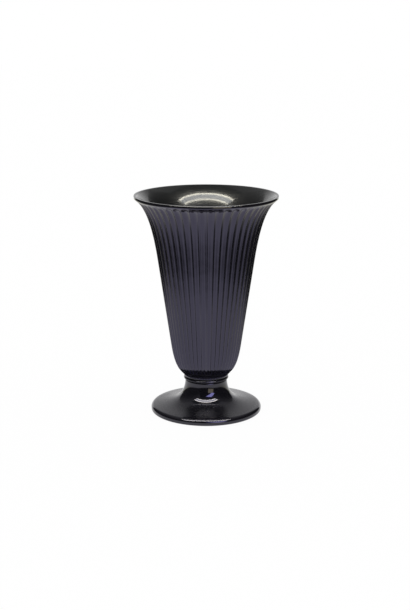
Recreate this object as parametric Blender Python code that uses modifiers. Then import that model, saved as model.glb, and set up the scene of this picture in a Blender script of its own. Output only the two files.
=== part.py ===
"""Bell vase: a fluted, flared bell on a turned foot, clamped together by one screw on the axis.

Lengths are in metres, +Z is up, and the origin is the middle of the face that the vase rests on.
A profile point is (radius, height). A turned piece has its own height 0 at its lowest seat.
"""

import math

import bmesh
import bpy
from mathutils import Matrix, Vector

FIT_GAP = 0.0003  # space left between two pieces that touch

# The bell, from its seat on the ring upwards
BAND_HEIGHT = 0.0012  # the plain band under the flutes
BOTTOM_HEIGHT = 0.0288
CONE_HEIGHT = 0.0785
FLARE_HEIGHT = 0.05845  # with the lip
BAND_PROUD = 0.0015  # how far the band stands out past the neck
BAND_EDGE = 0.0003
CONE_LOW_RADIUS = 0.0321
CONE_HIGH_RADIUS = 0.0437
RIM_RADIUS = 0.0647
LIP_ROLL = 0.00172
LIP_STRAIGHT = 0.0025  # length of the straight wall under the lip's roll
BOTTOM_ANGLE = math.radians(31.6)  # the wall's lean away from the axis, just above the band
FLARE_ANGLE = math.radians(49.2)  # and under the lip
BOTTOM_PULL = 0.0056
CONE_LOW_PULL = 0.0249
CONE_HIGH_PULL = 0.02845
FLARE_PULL = 0.0119
WALL = 0.0026
LIP_BLEND = 0.014  # height over which the wall thickens to the lip's roll
FLOOR_THICKNESS = 0.0035
FLOOR_FILLET = 0.005

# The flutes, hollow channels that meet in narrow ridges
FLUTES = 52
FLUTE_SAG = 0.13  # depth over width
FLUTE_RUNOUT = 0.0015  # height over which a flute fades out at each end

# The collar
SPIGOT_LENGTH = 0.0055
SPIGOT_END_CLEARANCE = 0.0005
RING_PROUD = 0.0017
RING_HEIGHT = 0.00245
RING_EDGE = 0.0006

# The foot, above its own rim
FOOT_HEIGHT = 0.0295
FOOT_RADIUS = 0.0505
FOOT_EDGE_HEIGHT = 0.0058
FOOT_TOP_ROUND = 0.0021
FOOT_LOW_ROUND = 0.0012
FOOT_SLOPE = math.radians(9.6)
FOOT_NECK_PULL = 0.018
FOOT_DISC_PULL = 0.0155
FOOT_WALL = 0.003
NECK_RADIUS = 0.01885
NECK_ANGLE = math.radians(4.5)  # the foot's lean where it leaves the straight neck
NECK_WALL = 0.0036  # round the socket
NECK_STRAIGHT = 0.0017
NECK_EDGE = 0.0004
HUB_THICKNESS = 0.005
RIM_LAND = 0.0046  # flat ring outside the pad
GLUE_LAND = 0.0035  # flat ring that the pad is glued to

# The felt pad under the foot
PAD_THICKNESS = 0.0015
PAD_PROUD = 0.0005  # how far it stands below the foot's rim

# The M6 screw, its seal, washers and nut
SCREW_RADIUS = 0.003
SCREW_END = 0.0019  # length of the screw past the nut
HEAD_RADIUS = 0.006
HEAD_HEIGHT = 0.0036
HEAD_EDGE = 0.0022
DRIVE_WIDTH = 0.0012
DRIVE_LENGTH = 0.0052
DRIVE_DEPTH = 0.0018
HOLE_CLEARANCE = 0.0003
SEAL_RADIUS = 0.0078
SEAL_THICKNESS = 0.002
WASHER_RADIUS = 0.006
WASHER_THICKNESS = 0.0016
SPRING_RADIUS = 0.0057
SPRING_THICKNESS = 0.0016
SPRING_SPLIT = 0.0012
NUT_ACROSS_FLATS = 0.01
NUT_HEIGHT = 0.005

# How finely the round shapes are divided, round the axis in steps and along a profile in rows
SKIN_STEPS_PER_FLUTE = 3
LINING_STEPS = FLUTES * SKIN_STEPS_PER_FLUTE // 2
FOOT_STEPS = 64
FASTENER_STEPS = 32
LIP_ROWS = 6
FLARE_ROWS = 8
BOTTOM_ROWS = 7
LINING_ROWS = 6
FOOT_ROWS = 11
HOLLOW_ROWS = 7
ROUND_ROWS = 4
CORNER_ROWS = 2
OFFSET_SAMPLES = 4  # points of the fine line that a wall is offset from, for each row of the wall
MERGE_DISTANCE = 0.00001
SHARP_ANGLE = math.radians(35)

# Heights above the floor
FOOT_BASE = PAD_PROUD
RING_BASE = FOOT_BASE + FOOT_HEIGHT + FIT_GAP
BELL_BASE = RING_BASE + RING_HEIGHT + FIT_GAP
FLOOR_TOP = BELL_BASE + FLOOR_THICKNESS
SEAL_BASE = FLOOR_TOP + FIT_GAP
SCREW_WASHER_BASE = SEAL_BASE + SEAL_THICKNESS + FIT_GAP
HEAD_BASE = SCREW_WASHER_BASE + WASHER_THICKNESS + FIT_GAP
HUB_TOP = BELL_BASE - SPIGOT_LENGTH - SPIGOT_END_CLEARANCE
HUB_BASE = HUB_TOP - HUB_THICKNESS
FOOT_WASHER_BASE = HUB_BASE - FIT_GAP - WASHER_THICKNESS
SPRING_BASE = FOOT_WASHER_BASE - FIT_GAP - SPRING_THICKNESS
NUT_BASE = SPRING_BASE - FIT_GAP - NUT_HEIGHT

# Sizes that follow from the fits
SCREW_LENGTH = HEAD_BASE - NUT_BASE + SCREW_END
BORE_RADIUS = SCREW_RADIUS + HOLE_CLEARANCE
SOCKET_RADIUS = NECK_RADIUS - NECK_WALL
SPIGOT_RADIUS = SOCKET_RADIUS - FIT_GAP
RING_RADIUS = NECK_RADIUS + RING_PROUD
BAND_RADIUS = NECK_RADIUS + BAND_PROUD
CONE_LEAN = math.atan2(CONE_HIGH_RADIUS - CONE_LOW_RADIUS, CONE_HEIGHT)
PAD_RECESS = PAD_THICKNESS + FIT_GAP - PAD_PROUD
PAD_SEAT_RADIUS = FOOT_RADIUS - RIM_LAND
HOLLOW_RADIUS = PAD_SEAT_RADIUS - GLUE_LAND

# Colour, roughness and metallic value of each material
PLASTIC = ("black_plastic", (0.013, 0.012, 0.017), 0.24, 0.0)
STEEL = ("screw_steel", (0.56, 0.56, 0.57), 0.3, 1.0)
RUBBER = ("seal_rubber", (0.02, 0.02, 0.02), 0.75, 0.0)
FELT = ("pad_felt", (0.025, 0.025, 0.027), 0.95, 0.0)


def clear_scene():
    for obj in list(bpy.data.objects):
        bpy.data.objects.remove(obj)


def new_collection(name):
    collection = bpy.data.collections.new(name)
    bpy.context.scene.collection.children.link(collection)
    return collection


def material(spec):
    """The material with this name, made the first time that a piece asks for it."""
    name, colour, roughness, metallic = spec
    found = bpy.data.materials.get(name)
    if found:
        return found
    made = bpy.data.materials.new(name)
    made.use_nodes = True
    shader = made.node_tree.nodes["Principled BSDF"]
    shader.inputs["Base Color"].default_value = (*colour, 1.0)
    shader.inputs["Roughness"].default_value = roughness
    shader.inputs["Metallic"].default_value = metallic
    return made


def arc(centre, radius, start, end, count):
    """Points of a round stretch, from one angle to the other, where 90 degrees is up."""
    angles = [math.radians(start + (end - start) * i / count) for i in range(count + 1)]
    return [(centre[0] + radius * math.cos(a), centre[1] + radius * math.sin(a)) for a in angles]


def curve(start, start_pull, end_pull, end, count):
    """Points of a cubic curve between two points, with the points that pull it at each end."""
    points = []
    for i in range(count + 1):
        t = i / count
        weights = ((1 - t) ** 3, 3 * t * (1 - t) ** 2, 3 * t * t * (1 - t), t**3)
        ends = (start, start_pull, end_pull, end)
        points.append(tuple(sum(w * p[k] for w, p in zip(weights, ends)) for k in (0, 1)))
    return points


def moved(point, lean, distance):
    """The point moved up along a wall that leans this much away from the axis."""
    return (point[0] + distance * math.sin(lean), point[1] + distance * math.cos(lean))


def inside(points, thickness):
    """The line of points, which runs down an outer side, moved in by the wall's thickness at each height."""
    moved_in = []
    for i, (r, z) in enumerate(points):
        before, after = points[max(i - 1, 0)], points[min(i + 1, len(points) - 1)]
        along = Vector((after[0] - before[0], after[1] - before[1])).normalized()
        moved_in.append((r + thickness(z) * along[1], z - thickness(z) * along[0]))
    return moved_in


def turned(name, points, steps, closed=False):
    """A profile turned round the Z axis. A closed profile ends where it starts."""
    count = len(points)
    edges = [(i, (i + 1) % count) for i in range(count if closed else count - 1)]
    mesh = bpy.data.meshes.new(name)
    mesh.from_pydata([(r, 0.0, z) for r, z in points], edges, [])
    obj = bpy.data.objects.new(name, mesh)
    screw = obj.modifiers.new("turn", "SCREW")
    screw.angle = math.tau
    screw.steps = steps
    screw.render_steps = steps
    screw.use_merge_vertices = True
    screw.merge_threshold = MERGE_DISTANCE
    screw.use_smooth_shade = True
    return obj


def baked(obj, collection):
    """The mesh that the object's modifiers make, with the object itself removed."""
    collection.objects.link(obj)
    graph = bpy.context.evaluated_depsgraph_get()
    mesh = bpy.data.meshes.new_from_object(obj.evaluated_get(graph))
    bpy.data.objects.remove(obj)
    return mesh


def place(obj, spec, base, collection, parent):
    obj.location.z = base
    obj.parent = parent
    obj.data.materials.append(material(spec))
    collection.objects.link(obj)
    return obj


def cut(obj, cutter, cutters):
    """Takes the cutter's shape out of the object."""
    cutters.objects.link(cutter)
    cutter.hide_render = True
    cutter.display_type = "WIRE"
    step = obj.modifiers.new(cutter.name, "BOOLEAN")
    step.operation = "DIFFERENCE"
    step.object = cutter
    return obj


def block(name, size, centre):
    """A box of this size about a centre in world space."""
    mesh = bpy.data.meshes.new(name)
    bm = bmesh.new()
    bmesh.ops.create_cube(bm, size=1.0, matrix=Matrix.Diagonal((*size, 1.0)))
    bm.to_mesh(mesh)
    bm.free()
    obj = bpy.data.objects.new(name, mesh)
    obj.location = centre
    return obj


def flute_fade(height, low, high):
    """How deep a flute is at this height: 0 at its two ends and 1 past its run-outs."""
    near = max(min(height - low, high - height) / FLUTE_RUNOUT, 0.0)
    return min(near, 1.0) ** 0.5


def press_flutes(mesh, low, high):
    """Draws the skin in between the ridges, deepest midway, each flute as deep as its width allows."""
    for vertex in mesh.vertices:
        x, y, z = vertex.co
        radius = math.hypot(x, y)
        across = math.atan2(y, x) / math.tau * FLUTES % 1.0
        hollow = 1.0 - (2.0 * across - 1.0) ** 2
        width = math.tau * radius / FLUTES
        depth = FLUTE_SAG * width * hollow * flute_fade(z, low, high)
        vertex.co.xy = (x * (1.0 - depth / radius), y * (1.0 - depth / radius))


def bell_levels():
    """Heights of the bell's changes of form above its seat."""
    cone_low = BAND_HEIGHT + BOTTOM_HEIGHT
    cone_high = cone_low + CONE_HEIGHT
    return cone_low, cone_high, cone_high + FLARE_HEIGHT


def lip_centre():
    return (RIM_RADIUS - LIP_ROLL, bell_levels()[-1] - LIP_ROLL)


def under_lip():
    """Where the outer side runs into the lip's roll."""
    r, z = lip_centre()
    return (r + LIP_ROLL * math.cos(FLARE_ANGLE), z - LIP_ROLL * math.sin(FLARE_ANGLE))


def bell_flare(count):
    """The outer side along the ridges, from the lip down to the straight cone."""
    top = moved(under_lip(), FLARE_ANGLE, -LIP_STRAIGHT)
    end = (CONE_HIGH_RADIUS, bell_levels()[1])
    return curve(top, moved(top, FLARE_ANGLE, -FLARE_PULL), moved(end, CONE_LEAN, CONE_HIGH_PULL), end, count)


def bell_bottom(count):
    """The outer side along the ridges, from the foot of the cone down to the plain band."""
    top = (CONE_LOW_RADIUS, bell_levels()[0])
    end = (BAND_RADIUS, BAND_HEIGHT)
    low_pull = moved(top, CONE_LEAN, -CONE_LOW_PULL)
    return curve(top, low_pull, moved(end, BOTTOM_ANGLE, BOTTOM_PULL), end, count)


def bell_wall(height):
    """The wall's thickness, more and more towards the lip, which is a full round."""
    near = max(1.0 - (bell_levels()[-1] - height) / LIP_BLEND, 0.0)
    return WALL + (2 * LIP_ROLL - WALL) * near**2


def bell_skin_profile():
    """The lip's roll and the fluted side, down to the plain band."""
    side = [under_lip()] + bell_flare(FLARE_ROWS) + bell_bottom(BOTTOM_ROWS)
    lean = math.degrees(FLARE_ANGLE)
    roll = arc(lip_centre(), LIP_ROLL, 180 - lean, -lean, LIP_ROWS)
    full_depth = [
        moved(side[0], FLARE_ANGLE, -FLUTE_RUNOUT / math.cos(FLARE_ANGLE)),
        moved(side[-1], BOTTOM_ANGLE, FLUTE_RUNOUT / math.cos(BOTTOM_ANGLE)),
    ]
    return roll[:-1] + sorted(side + full_depth, key=lambda point: -point[1])


def bell_lining_profile():
    """From the lip down the smooth inside to the bored floor, then up the outside over spigot and band."""
    samples = LINING_ROWS * OFFSET_SAMPLES
    flare = inside([under_lip()] + bell_flare(samples), bell_wall)[OFFSET_SAMPLES // 2 + 1 :: OFFSET_SAMPLES]
    bottom = inside(bell_bottom(samples), bell_wall)[::OFFSET_SAMPLES]
    wall = flare + [point for point in bottom if point[1] > FLOOR_THICKNESS + FLOOR_FILLET / 4]
    corner = (wall[-1][0] - FLOOR_FILLET, FLOOR_THICKNESS)
    drop = moved(wall[-1], BOTTOM_ANGLE, FLOOR_THICKNESS - wall[-1][1])
    fillet = curve(wall[-1], drop, (corner[0] + FLOOR_FILLET / 2, corner[1]), corner, ROUND_ROWS)
    bore = [(BORE_RADIUS, FLOOR_THICKNESS), (BORE_RADIUS, -SPIGOT_LENGTH)]
    spigot = [(SPIGOT_RADIUS, -SPIGOT_LENGTH), (SPIGOT_RADIUS, 0.0)]
    edge = arc((BAND_RADIUS - BAND_EDGE, BAND_EDGE), BAND_EDGE, -90, 0, CORNER_ROWS)
    return wall + fillet[1:] + bore + spigot + edge


def joined_shells(name, skin, lining):
    """One closed body from two open turned shells, bridged where their open edges face each other."""
    bm = bmesh.new()
    bm.from_mesh(skin)
    bm.from_mesh(lining)
    middle = bell_levels()[-1] / 2
    open_edges = [edge for edge in bm.edges if edge.is_boundary]
    for upper in (True, False):
        loops = [e for e in open_edges if (e.verts[0].co.z > middle) == upper]
        bmesh.ops.bridge_loops(bm, edges=loops)
    bmesh.ops.recalc_face_normals(bm, faces=bm.faces)
    mesh = bpy.data.meshes.new(name)
    bm.to_mesh(mesh)
    bm.free()
    mesh.shade_smooth()
    mesh.set_sharp_from_angle(angle=SHARP_ANGLE)
    return bpy.data.objects.new(name, mesh)


def make_bell(collection, parent):
    skin = baked(turned("bell_skin", bell_skin_profile(), FLUTES * SKIN_STEPS_PER_FLUTE), collection)
    lining = baked(turned("bell_lining", bell_lining_profile(), LINING_STEPS), collection)
    press_flutes(skin, BAND_HEIGHT, under_lip()[1])
    return place(joined_shells("bell", skin, lining), PLASTIC, BELL_BASE, collection, parent)


def make_collar_ring(collection, parent):
    """The narrow ring between the bell and the foot's neck, round the spigot."""
    outer, inner, edge = RING_RADIUS, SOCKET_RADIUS, RING_EDGE
    top = arc((outer - edge, RING_HEIGHT - edge), edge, 90, 0, CORNER_ROWS)
    low = arc((outer - edge, edge), edge, 0, -90, CORNER_ROWS)
    points = top + low + [(inner, 0.0), (inner, RING_HEIGHT)]
    ring = turned("collar_ring", points, FOOT_STEPS, closed=True)
    return place(ring, PLASTIC, RING_BASE, collection, parent)


def foot_top_curve(count):
    """The foot's upper side, from the end of the straight neck out to the disc's rounded edge."""
    neck = (NECK_RADIUS, FOOT_HEIGHT - NECK_STRAIGHT)
    centre = (FOOT_RADIUS - FOOT_TOP_ROUND, FOOT_EDGE_HEIGHT - FOOT_TOP_ROUND)
    edge = arc(centre, FOOT_TOP_ROUND, 90 - math.degrees(FOOT_SLOPE), 0, ROUND_ROWS)
    inward = (
        edge[0][0] - FOOT_DISC_PULL * math.cos(FOOT_SLOPE),
        edge[0][1] + FOOT_DISC_PULL * math.sin(FOOT_SLOPE),
    )
    return curve(neck, moved(neck, -NECK_ANGLE, -FOOT_NECK_PULL), inward, edge[0], count), edge


def foot_profile():
    """The foot: socket, neck, disc, the seat of the pad, and the hollow under them up to the hub."""
    top, edge = foot_top_curve(FOOT_ROWS)
    neck_top = arc((NECK_RADIUS - NECK_EDGE, FOOT_HEIGHT - NECK_EDGE), NECK_EDGE, 90, 0, CORNER_ROWS)
    low_centre = (FOOT_RADIUS - FOOT_LOW_ROUND, FOOT_LOW_ROUND)
    low = arc(low_centre, FOOT_LOW_ROUND, 0, -90, ROUND_ROWS)
    seat = [(PAD_SEAT_RADIUS, 0.0), (PAD_SEAT_RADIUS, PAD_RECESS), (HOLLOW_RADIUS, PAD_RECESS)]
    hub_base = HUB_BASE - FOOT_BASE
    hub_top = HUB_TOP - FOOT_BASE
    fine_top = foot_top_curve(HOLLOW_ROWS * OFFSET_SAMPLES)[0]
    ceiling = inside(fine_top, lambda height: FOOT_WALL)[::OFFSET_SAMPLES]
    vault = [point for point in ceiling if point[0] < HOLLOW_RADIUS and point[1] < hub_base][::-1]
    shoulder = (vault[-1][0], hub_base)
    hub = [shoulder, (BORE_RADIUS, hub_base), (BORE_RADIUS, hub_top)]
    socket = [(SOCKET_RADIUS, hub_top), (SOCKET_RADIUS, FOOT_HEIGHT)]
    return neck_top + top + edge[1:] + low + seat + vault + hub + socket


def make_foot(collection, parent):
    foot = turned("foot", foot_profile(), FOOT_STEPS, closed=True)
    return place(foot, PLASTIC, FOOT_BASE, collection, parent)


def flat_ring(name, outer, inner, thickness, steps=FASTENER_STEPS):
    """A washer shape."""
    points = [(outer, thickness), (outer, 0.0), (inner, 0.0), (inner, thickness)]
    return turned(name, points, steps, closed=True)


def make_screw(collection, cutters, parent):
    """A pan-head screw with a cross recess. Its shank has the thread's outer size."""
    centre_height = HEAD_HEIGHT - HEAD_EDGE
    dome = [(0.0, HEAD_HEIGHT)]
    dome += arc((HEAD_RADIUS - HEAD_EDGE, centre_height), HEAD_EDGE, 90, 0, ROUND_ROWS)
    shank = [(HEAD_RADIUS, 0.0), (SCREW_RADIUS, 0.0), (SCREW_RADIUS, -SCREW_LENGTH), (0.0, -SCREW_LENGTH)]
    screw = turned("clamp_screw", dome + shank, FASTENER_STEPS)
    place(screw, STEEL, HEAD_BASE, collection, parent)
    height = HEAD_BASE + HEAD_HEIGHT
    bars = {
        "drive_bar_x": (DRIVE_LENGTH, DRIVE_WIDTH, 2 * DRIVE_DEPTH),
        "drive_bar_y": (DRIVE_WIDTH, DRIVE_LENGTH, 2 * DRIVE_DEPTH),
    }
    for name, size in bars.items():
        cut(screw, block(name, size, (0.0, 0.0, height)), cutters)
    return screw


def make_spring_washer(collection, cutters, parent):
    """A washer split on one side."""
    washer = flat_ring("spring_washer", SPRING_RADIUS, BORE_RADIUS, SPRING_THICKNESS)
    place(washer, STEEL, SPRING_BASE, collection, parent)
    size = (2 * (SPRING_RADIUS - BORE_RADIUS), SPRING_SPLIT, 2 * SPRING_THICKNESS)
    centre = ((SPRING_RADIUS + BORE_RADIUS) / 2, 0.0, SPRING_BASE + SPRING_THICKNESS / 2)
    return cut(washer, block("split", size, centre), cutters)


def make_nut(collection, cutters, parent):
    """A hexagon nut on the screw's end."""
    mesh = bpy.data.meshes.new("clamp_nut")
    bm = bmesh.new()
    corner_radius = NUT_ACROSS_FLATS / math.sqrt(3)
    bmesh.ops.create_cone(
        bm, cap_ends=True, segments=6, radius1=corner_radius, radius2=corner_radius, depth=NUT_HEIGHT
    )
    bmesh.ops.translate(bm, verts=bm.verts, vec=(0.0, 0.0, NUT_HEIGHT / 2))
    bm.to_mesh(mesh)
    bm.free()
    nut = place(bpy.data.objects.new("clamp_nut", mesh), STEEL, NUT_BASE, collection, parent)
    high, low = 1.5 * NUT_HEIGHT, -0.5 * NUT_HEIGHT
    rod = [(0.0, high), (BORE_RADIUS, high), (BORE_RADIUS, low), (0.0, low)]
    bore = turned("nut_bore", rod, FASTENER_STEPS)
    bore.location.z = NUT_BASE
    return cut(nut, bore, cutters)


def make_washers(collection, parent):
    """The plain washers at both ends of the screw, and the seal that keeps the water in."""
    pieces = (
        ("screw_seal", SEAL_RADIUS, SEAL_THICKNESS, SEAL_BASE, RUBBER),
        ("screw_washer", WASHER_RADIUS, WASHER_THICKNESS, SCREW_WASHER_BASE, STEEL),
        ("foot_washer", WASHER_RADIUS, WASHER_THICKNESS, FOOT_WASHER_BASE, STEEL),
    )
    for name, radius, thickness, base, spec in pieces:
        place(flat_ring(name, radius, BORE_RADIUS, thickness), spec, base, collection, parent)


def make_pad(collection, parent):
    """The felt disc that the vase rests on, glued into the foot over the hollow."""
    radius = PAD_SEAT_RADIUS - FIT_GAP
    points = [(0.0, PAD_THICKNESS), (radius, PAD_THICKNESS), (radius, 0.0), (0.0, 0.0)]
    return place(turned("base_pad", points, FOOT_STEPS), FELT, 0.0, collection, parent)


def main():
    clear_scene()
    vase = new_collection("bell_vase")
    cutters = new_collection("cutters")
    axis = bpy.data.objects.new("vase_axis", None)
    vase.objects.link(axis)
    make_pad(vase, axis)
    make_foot(vase, axis)
    make_collar_ring(vase, axis)
    make_bell(vase, axis)
    make_washers(vase, axis)
    make_screw(vase, cutters, axis)
    make_spring_washer(vase, cutters, axis)
    make_nut(vase, cutters, axis)


main()
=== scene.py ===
# %% [markdown]
# # A black bell vase
# The real vase is a fluted, flared bell on a turned foot, moulded in glossy black plastic, with a narrow ring
# between the two. One screw on the axis clamps them, and a felt disc closes the foot.
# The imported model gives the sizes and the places. Eight of its ten pieces are drawn again here, much finer
# and in the same space, and all ten get the finish of the real ones.

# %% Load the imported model
import math
from functools import partial

import bmesh
import bpy
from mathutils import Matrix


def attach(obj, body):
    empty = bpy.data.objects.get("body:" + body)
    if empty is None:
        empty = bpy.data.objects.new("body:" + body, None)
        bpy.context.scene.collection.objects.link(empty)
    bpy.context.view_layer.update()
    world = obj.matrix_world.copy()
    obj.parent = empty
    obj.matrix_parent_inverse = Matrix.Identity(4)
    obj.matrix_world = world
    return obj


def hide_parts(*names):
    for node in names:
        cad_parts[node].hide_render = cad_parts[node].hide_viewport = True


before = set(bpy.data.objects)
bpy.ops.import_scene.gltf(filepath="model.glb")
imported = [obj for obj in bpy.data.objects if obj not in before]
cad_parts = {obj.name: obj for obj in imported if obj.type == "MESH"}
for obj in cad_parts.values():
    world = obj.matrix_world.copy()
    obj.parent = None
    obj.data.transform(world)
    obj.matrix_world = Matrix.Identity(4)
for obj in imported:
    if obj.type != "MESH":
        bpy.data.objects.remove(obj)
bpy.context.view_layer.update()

print("the packed model holds", len(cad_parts), "nodes")

# %% [markdown]
# ## Points of a profile
# A turned piece is a flat outline swept round the axis. The outline is a list of (radius, height) points.
# A Bezier curve object would do too, but short lists are easy to offset inwards, which is how a moulded wall
# of even thickness is made.


# %% Arcs, curves and offsets
def arc(centre, radius, start, end, count):
    """Points of a round stretch, from one angle to the other, where 90 degrees is up."""
    angles = [math.radians(start + (end - start) * i / count) for i in range(count + 1)]
    return [(centre[0] + radius * math.cos(a), centre[1] + radius * math.sin(a)) for a in angles]


def curve(start, start_pull, end_pull, end, count):
    """Points of a cubic curve between two points, with the points that pull it at each end."""
    points = []
    for i in range(count + 1):
        t = i / count
        weights = ((1 - t) ** 3, 3 * t * (1 - t) ** 2, 3 * t * t * (1 - t), t**3)
        ends = (start, start_pull, end_pull, end)
        points.append(tuple(sum(w * p[k] for w, p in zip(weights, ends)) for k in (0, 1)))
    return points


def moved(point, lean, distance):
    """The point moved up along a wall that leans this much away from the axis."""
    return (point[0] + distance * math.sin(lean), point[1] + distance * math.cos(lean))


def inside(points, thickness):
    """The line of points, which runs down an outer side, moved in by the wall's thickness at each height."""
    moved_in = []
    for i, (r, z) in enumerate(points):
        before, after = points[max(i - 1, 0)], points[min(i + 1, len(points) - 1)]
        length = math.dist(before, after)
        along = ((after[0] - before[0]) / length, (after[1] - before[1]) / length)
        moved_in.append((r + thickness(z) * along[1], z - thickness(z) * along[0]))
    return moved_in


def straight(start, end, count):
    """Points of a straight stretch without its two ends."""
    steps = [i / count for i in range(1, count)]
    return [(start[0] + (end[0] - start[0]) * t, start[1] + (end[1] - start[1]) * t) for t in steps]


def raised(points, base):
    """The outline lifted to its place in the vase."""
    return [(r, z + base) for r, z in points]


print("a quarter arc in 4 steps:", [tuple(round(v, 2) for v in p) for p in arc((0, 0), 1, 0, 90, 4)])

# %% [markdown]
# ## Turning
# The Screw modifier sweeps an outline round the axis and closes the seam and the poles by merging points.
# `new_from_object` then keeps the result as a plain mesh, so that nothing on the piece is left to compute.

# %% Turn an outline round the axis
MERGE_DISTANCE = 0.000004


def in_scene(name, data):
    """A new object at the origin, in the scene."""
    obj = bpy.data.objects.new(name, data)
    bpy.context.scene.collection.objects.link(obj)
    return obj


def turned(name, points, steps, closed=False):
    """An object that sweeps the outline round. A closed one also runs from its last point to its first."""
    count = len(points)
    edges = [(i, (i + 1) % count) for i in range(count if closed else count - 1)]
    mesh = bpy.data.meshes.new(name)
    mesh.from_pydata([(r, 0.0, z) for r, z in points], edges, [])
    obj = in_scene(name, mesh)
    screw = obj.modifiers.new("turn", "SCREW")
    screw.angle = math.tau
    screw.steps = steps
    screw.render_steps = steps
    screw.use_merge_vertices = True
    screw.merge_threshold = MERGE_DISTANCE
    screw.use_smooth_shade = True
    return obj


def plain_mesh(obj):
    """The mesh that the object's modifiers make. The object itself is removed."""
    graph = bpy.context.evaluated_depsgraph_get()
    mesh = bpy.data.meshes.new_from_object(obj.evaluated_get(graph))
    bpy.data.objects.remove(obj)
    return mesh


# %% Finish a piece
SHARP_ANGLE = math.radians(38)


def joined(name, *parts):
    """One mesh from several, with each part's faces in its own material slot."""
    bm = bmesh.new()
    for slot, part in enumerate(parts):
        first = len(bm.faces)
        bm.from_mesh(part)
        bm.faces.ensure_lookup_table()
        for face in bm.faces[first:]:
            face.material_index = slot
    mesh = bpy.data.meshes.new(name)
    bm.to_mesh(mesh)
    bm.free()
    return mesh


def outward(mesh):
    """Turns the faces outward, keeps the edges between flat and round parts crisp, and counts open edges."""
    bm = bmesh.new()
    bm.from_mesh(mesh)
    bmesh.ops.recalc_face_normals(bm, faces=bm.faces)
    open_edges = sum(edge.is_boundary for edge in bm.edges)
    bm.to_mesh(mesh)
    bm.free()
    mesh.shade_smooth()
    mesh.set_sharp_from_angle(angle=SHARP_ANGLE)
    return open_edges


def finished(name, mesh, materials, slot, *stands_for):
    """Puts the mesh in the scene as a piece of the vase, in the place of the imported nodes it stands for."""
    mesh.name = name
    obj = in_scene(name, mesh)
    for material in materials:
        mesh.materials.append(material)
    open_edges = outward(mesh)
    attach(obj, "root")
    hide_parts(*stands_for)
    triangles = sum(len(p.vertices) - 2 for p in mesh.polygons)
    print(f"{name}: {triangles} triangles, {open_edges} open edges")
    return obj


# %% [markdown]
# ## Node trees from a few lines
# A shader or geometry tree is a chain of small sums. Writing each sum as one call keeps the chain readable:
# a value is either a number or the output of an earlier node.


# %% Helpers for single nodes
def feed(tree, socket, value):
    """Links an earlier node's output to the socket, or sets the socket to a plain value."""
    if isinstance(value, bpy.types.NodeSocket):
        tree.links.new(value, socket)
    else:
        socket.default_value = value


def op(tree, operation, *values):
    """One Math node."""
    node = tree.nodes.new("ShaderNodeMath")
    node.operation = operation
    for socket, value in zip(node.inputs, values):
        feed(tree, socket, value)
    return node.outputs[0]


def remap(tree, value, low, high, to_low=0.0, to_high=1.0):
    """One Map Range node, smooth at both ends."""
    node = tree.nodes.new("ShaderNodeMapRange")
    node.interpolation_type = "SMOOTHSTEP"
    for socket, given in zip(node.inputs, (value, low, high, to_low, to_high)):
        feed(tree, socket, given)
    return node.outputs["Result"]


def noise(tree, vector, scale, detail=2.0, roughness=0.5):
    """One noise pattern. The scale is in waves per metre where the vector is a place."""
    node = tree.nodes.new("ShaderNodeTexNoise")
    feed(tree, node.inputs["Vector"], vector)
    feed(tree, node.inputs["Scale"], scale)
    feed(tree, node.inputs["Detail"], detail)
    feed(tree, node.inputs["Roughness"], roughness)
    return node.outputs["Fac"]


def mixed(tree, factor, first, second):
    """One colour mix."""
    node = tree.nodes.new("ShaderNodeMix")
    node.data_type = "RGBA"
    colours = [s for s in node.inputs if s.type == "RGBA"]
    feed(tree, node.inputs[0], factor)
    feed(tree, colours[0], first)
    feed(tree, colours[1], second)
    return [s for s in node.outputs if s.type == "RGBA"][0]


# %% Helpers for vectors
def split(tree, vector):
    """The three parts of a vector."""
    node = tree.nodes.new("ShaderNodeSeparateXYZ")
    tree.links.new(vector, node.inputs[0])
    return node.outputs


def vector_of(tree, *parts):
    """A vector from its parts, where a missing part is 0."""
    node = tree.nodes.new("ShaderNodeCombineXYZ")
    for socket, part in zip(node.inputs, parts):
        feed(tree, socket, part)
    return node.outputs[0]


def hypotenuse(tree, first, second):
    """The root of the sum of two squares, such as the distance from the axis."""
    squares = [op(tree, "POWER", value, 2.0) for value in (first, second)]
    return op(tree, "SQRT", op(tree, "ADD", *squares))


def object_place(tree):
    """Where a point lies on its piece, in metres."""
    return tree.nodes.new("ShaderNodeTexCoord").outputs["Object"]


# %% Helpers for groups and materials
SCALAR, WHOLE, VECTOR = "NodeSocketFloat", "NodeSocketInt", "NodeSocketVector"
GEOMETRY, MATERIAL = "NodeSocketGeometry", "NodeSocketMaterial"


def new_group(name, kind, inputs, outputs):
    """An empty node group, with its input and output nodes."""
    group = bpy.data.node_groups.new(name, kind)
    for label, socket_type, value in inputs:
        socket = group.interface.new_socket(label, in_out="INPUT", socket_type=socket_type)
        if value is not None:
            socket.default_value = value
    for label, socket_type in outputs:
        group.interface.new_socket(label, in_out="OUTPUT", socket_type=socket_type)
    return group, group.nodes.new("NodeGroupInput"), group.nodes.new("NodeGroupOutput")


def placed(tree, group, **values):
    """The group put in a tree, with its own values. An underscore in a name stands for a space."""
    node = tree.nodes.new("ShaderNodeGroup")
    node.node_tree = group
    for label, value in values.items():
        feed(tree, node.inputs[label.replace("_", " ")], value)
    return node


def new_material(name, **sockets):
    """A Principled material with plain values on its sockets."""
    material = bpy.data.materials.new(name)
    material.use_nodes = True
    tree = material.node_tree
    shader = tree.nodes["Principled BSDF"]
    for label, value in sockets.items():
        shader.inputs[label.replace("_", " ")].default_value = value
    return material, tree, shader


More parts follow.
